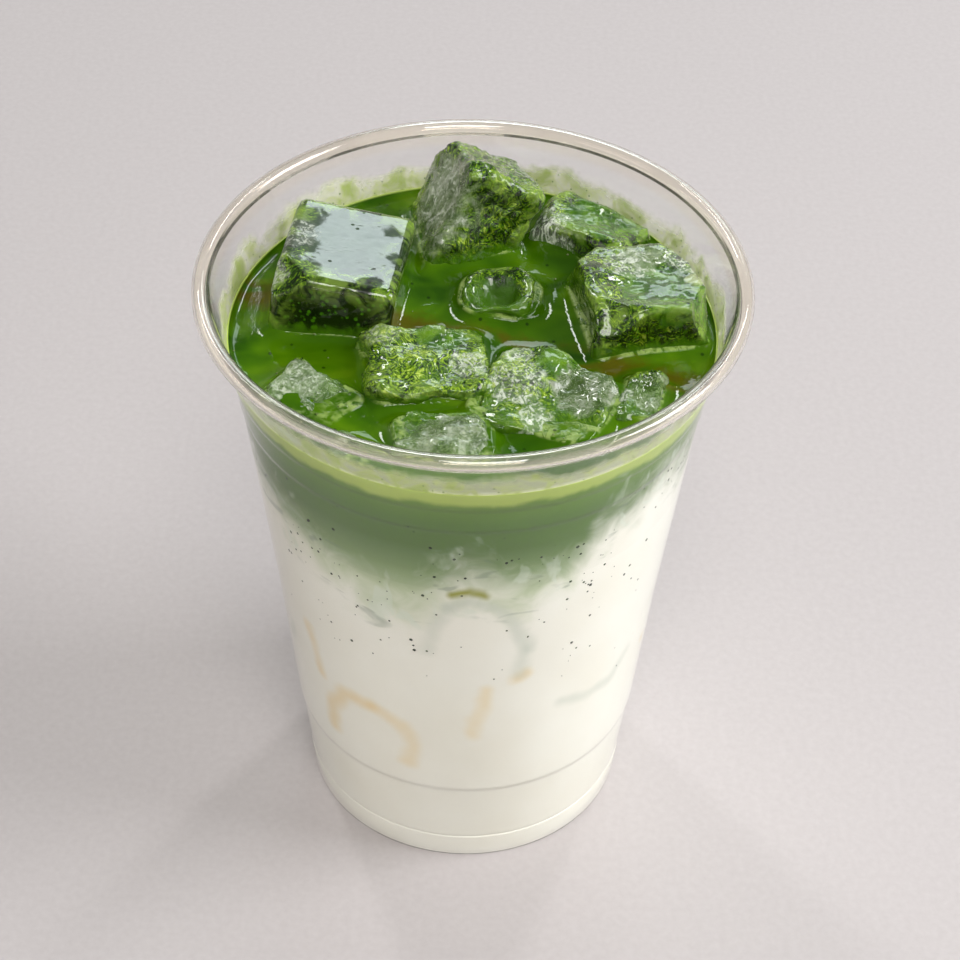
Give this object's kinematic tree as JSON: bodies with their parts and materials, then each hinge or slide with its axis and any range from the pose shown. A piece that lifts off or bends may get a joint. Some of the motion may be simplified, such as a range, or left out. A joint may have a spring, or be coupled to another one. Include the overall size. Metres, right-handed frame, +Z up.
{
  "type": "iced matcha latte in a clear cup",
  "caption": "Iced matcha latte in a clear tapered plastic cup with a rolled lip: white milk below, green matcha above, and worn blocks of ice standing out of the drink.",
  "frame": {"origin": "middle of the cup's foot, on the surface it stands on", "axes": "+Z up along the cup's axis, +X to the right and -Y to the front of the ice's layout"},
  "size_m": [0.098, 0.098, 0.1242],
  "materials": {
    "clear_plastic": "clear glossy formed sheet",
    "milk": "opaque white liquid against the wall",
    "matcha": "glossy deep green liquid, paler and cloudy towards the milk",
    "ice": "wet ice, clear to frosted, with green powder on it"
  },
  "bodies": {
    "root": {"cup": "clear_plastic", "milk": "milk", "matcha": "matcha", "ice_back_left": "ice", "ice_back": "ice", "ice_back_right": "ice", "ice_right": "ice", "ice_middle": "ice", "ice_near_left": "ice", "ice_near_right": "ice", "ice_left": "ice", "ice_front": "ice", "ice_edge": "ice", "ice_side": "ice"}
  },
  "joints": []
}
